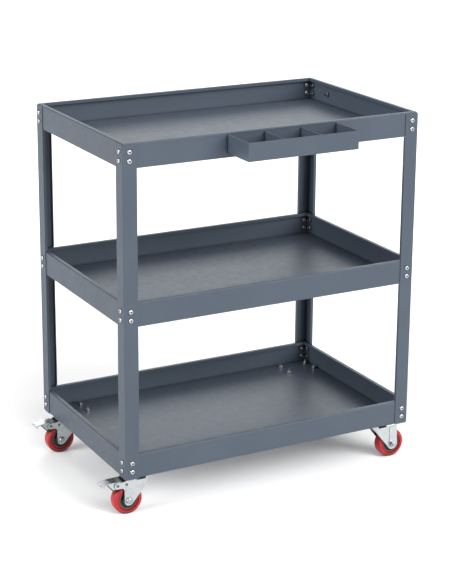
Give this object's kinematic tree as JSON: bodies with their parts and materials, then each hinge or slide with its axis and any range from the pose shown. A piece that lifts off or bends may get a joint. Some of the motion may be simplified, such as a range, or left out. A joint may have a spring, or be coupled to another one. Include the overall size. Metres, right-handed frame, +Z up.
{
  "type": "three-tray tool cart",
  "caption": "Open steel tool cart with deep-rimmed trays bolted to angle posts, a small divided parts bin on one side, and swivel casters with foot brakes at one end.",
  "frame": {"origin": "on the floor, under the middle of the whole cart's box", "axes": "+Z up; +X along the trays, away from the brake pedals; -Y is the side with the parts bin"},
  "size_m": [0.81, 0.5778, 0.866],
  "materials": {
    "frame_paint": "semi-gloss powder coat, slate blue-grey",
    "screws": "bright plated",
    "zinc": "bright zinc plate",
    "bearing_steel": "ground steel",
    "tread": "red polyurethane, satin",
    "wheel_core": "dark moulded plastic",
    "rivet_steel": "dark plated steel",
    "brake_nylon": "black nylon"
  },
  "bodies": {
    "frame": {"post_front_left": "frame_paint", "post_rear_left": "frame_paint", "post_front_right": "frame_paint", "post_rear_right": "frame_paint", "bottom_tray": "frame_paint", "middle_tray": "frame_paint", "top_tray": "frame_paint", "frame_bolts": "screws", "frame_nuts": "zinc", "caster_bolts": "screws", "caster_nuts": "zinc", "parts_bin": "frame_paint", "bin_divider_left": "frame_paint", "bin_divider_right": "frame_paint", "caster_plate_front_left": "zinc", "kingpin_front_left": "zinc", "caster_plate_rear_left": "zinc", "kingpin_rear_left": "zinc", "caster_plate_front_right": "zinc", "kingpin_front_right": "zinc", "caster_plate_rear_right": "zinc", "kingpin_rear_right": "zinc"},
    "swivel_front_left": {"swivel_balls_front_left": "bearing_steel", "fork_front_left": "zinc", "axle_sleeve_front_left": "bearing_steel", "axle_bolt_front_left": "zinc", "axle_nut_front_left": "zinc", "brake_pins_front_left": "rivet_steel"},
    "wheel_front_left": {"tyre_front_left": "tread", "hub_front_left": "wheel_core", "wheel_bearings_front_left": "bearing_steel"},
    "pedal_front_left": {"brake_pedal_front_left": "zinc", "brake_shoe_front_left": "brake_nylon"},
    "swivel_rear_left": {"swivel_balls_rear_left": "bearing_steel", "fork_rear_left": "zinc", "axle_sleeve_rear_left": "bearing_steel", "axle_bolt_rear_left": "zinc", "axle_nut_rear_left": "zinc", "brake_pins_rear_left": "rivet_steel"},
    "wheel_rear_left": {"tyre_rear_left": "tread", "hub_rear_left": "wheel_core", "wheel_bearings_rear_left": "bearing_steel"},
    "pedal_rear_left": {"brake_pedal_rear_left": "zinc", "brake_shoe_rear_left": "brake_nylon"},
    "swivel_front_right": {"swivel_balls_front_right": "bearing_steel", "fork_front_right": "zinc", "axle_sleeve_front_right": "bearing_steel", "axle_bolt_front_right": "zinc", "axle_nut_front_right": "zinc"},
    "wheel_front_right": {"tyre_front_right": "tread", "hub_front_right": "wheel_core", "wheel_bearings_front_right": "bearing_steel"},
    "swivel_rear_right": {"swivel_balls_rear_right": "bearing_steel", "fork_rear_right": "zinc", "axle_sleeve_rear_right": "bearing_steel", "axle_bolt_rear_right": "zinc", "axle_nut_rear_right": "zinc"},
    "wheel_rear_right": {"tyre_rear_right": "tread", "hub_rear_right": "wheel_core", "wheel_bearings_rear_right": "bearing_steel"}
  },
  "joints": [
    {"name": "swivel_front_left", "type": "hinge", "parent": "frame", "child": "swivel_front_left", "pos_m": [-0.308, -0.15035, 0.09], "axis": [0, 0, 1], "continuous": true},
    {"name": "wheel_spin_front_left", "type": "hinge", "parent": "swivel_front_left", "child": "wheel_front_left", "pos_m": [-0.338, -0.15035, 0.035], "axis": [0, 1, 0], "continuous": true},
    {"name": "brake_pedal_front_left", "type": "hinge", "parent": "swivel_front_left", "child": "pedal_front_left", "pos_m": [-0.366, -0.15035, 0.076], "axis": [0, -1, 0], "range_deg": [0, 12]},
    {"name": "swivel_rear_left", "type": "hinge", "parent": "frame", "child": "swivel_rear_left", "pos_m": [-0.308, 0.24165, 0.09], "axis": [0, 0, 1], "continuous": true},
    {"name": "wheel_spin_rear_left", "type": "hinge", "parent": "swivel_rear_left", "child": "wheel_rear_left", "pos_m": [-0.338, 0.24165, 0.035], "axis": [0, 1, 0], "continuous": true},
    {"name": "brake_pedal_rear_left", "type": "hinge", "parent": "swivel_rear_left", "child": "pedal_rear_left", "pos_m": [-0.366, 0.24165, 0.076], "axis": [0, -1, 0], "range_deg": [0, 12]},
    {"name": "swivel_front_right", "type": "hinge", "parent": "frame", "child": "swivel_front_right", "pos_m": [0.34, -0.15035, 0.09], "axis": [0, 0, 1], "continuous": true},
    {"name": "wheel_spin_front_right", "type": "hinge", "parent": "swivel_front_right", "child": "wheel_front_right", "pos_m": [0.37, -0.15035, 0.035], "axis": [0, 1, 0], "continuous": true},
    {"name": "swivel_rear_right", "type": "hinge", "parent": "frame", "child": "swivel_rear_right", "pos_m": [0.34, 0.24165, 0.09], "axis": [0, 0, 1], "continuous": true},
    {"name": "wheel_spin_rear_right", "type": "hinge", "parent": "swivel_rear_right", "child": "wheel_rear_right", "pos_m": [0.37, 0.24165, 0.035], "axis": [0, 1, 0], "continuous": true}
  ]
}
